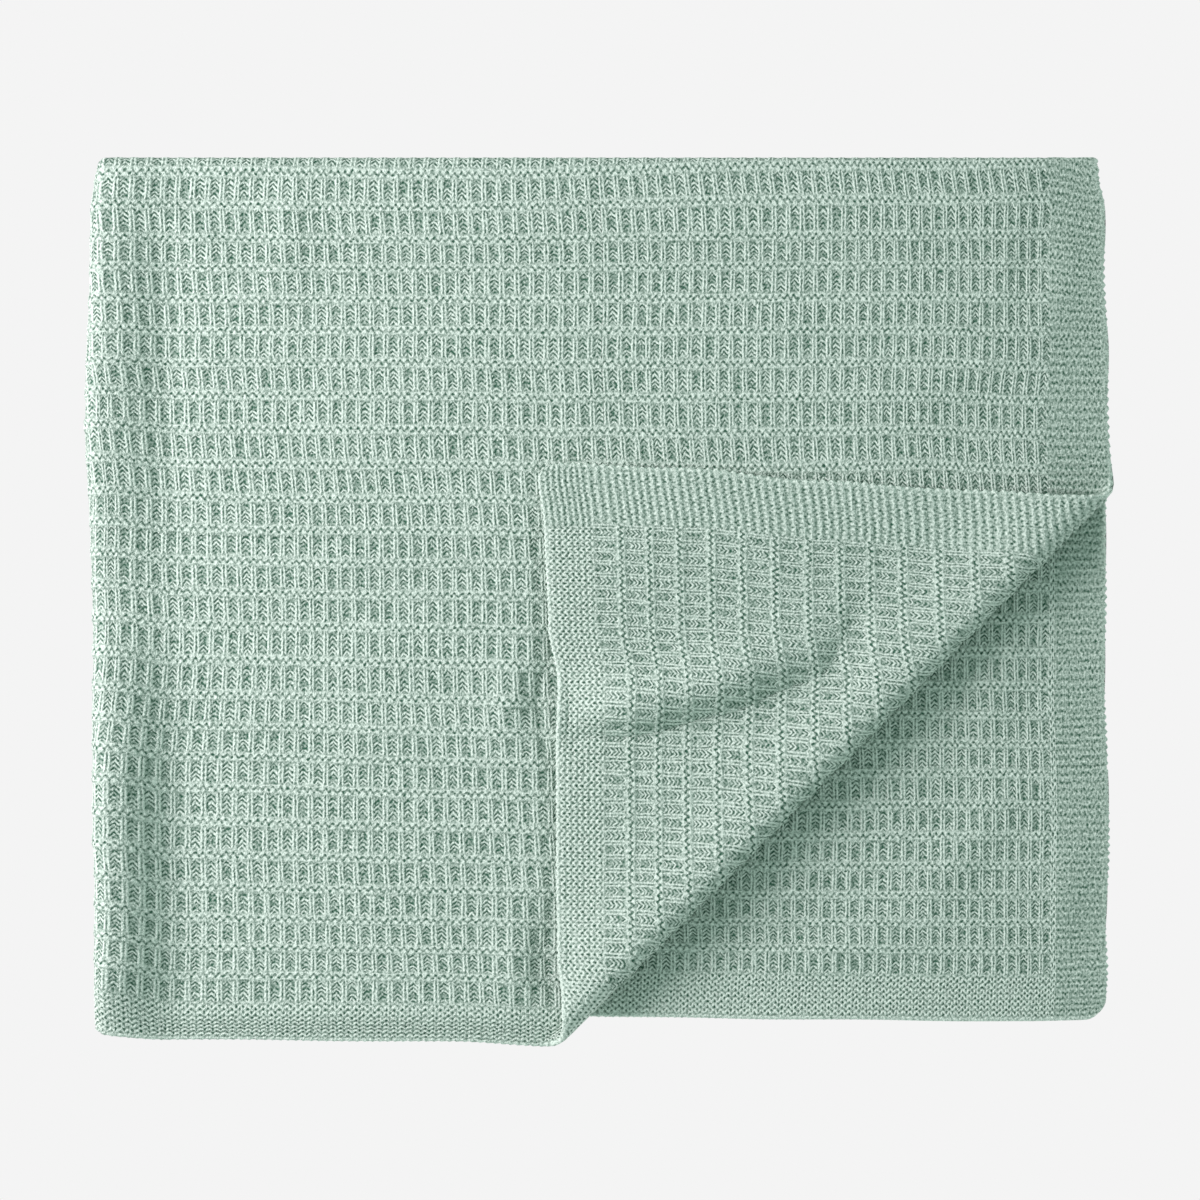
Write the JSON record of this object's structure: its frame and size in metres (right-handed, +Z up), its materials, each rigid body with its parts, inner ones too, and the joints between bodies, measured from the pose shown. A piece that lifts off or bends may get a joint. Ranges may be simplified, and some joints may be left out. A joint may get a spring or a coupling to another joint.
{
  "type": "folded baby blanket",
  "caption": "Knitted cotton baby blanket, folded in quarters, with its front corner turned back in a soft diagonal roll to show the reverse and the layer beneath.",
  "frame": {"origin": "centre of the base, on the surface that the folded blanket lies on", "axes": "+Z up, +X to the right along the folded width with the left fold at -X, +Y away from the viewer with the top fold at +Y"},
  "size_m": [0.4058, 0.3512, 0.0293],
  "materials": {
    "knit": "matte sage green cotton knit of ribbed bands between raised garter ridges, with a garter border"
  },
  "bodies": {
    "root": {"blanket": "knit"}
  },
  "joints": []
}
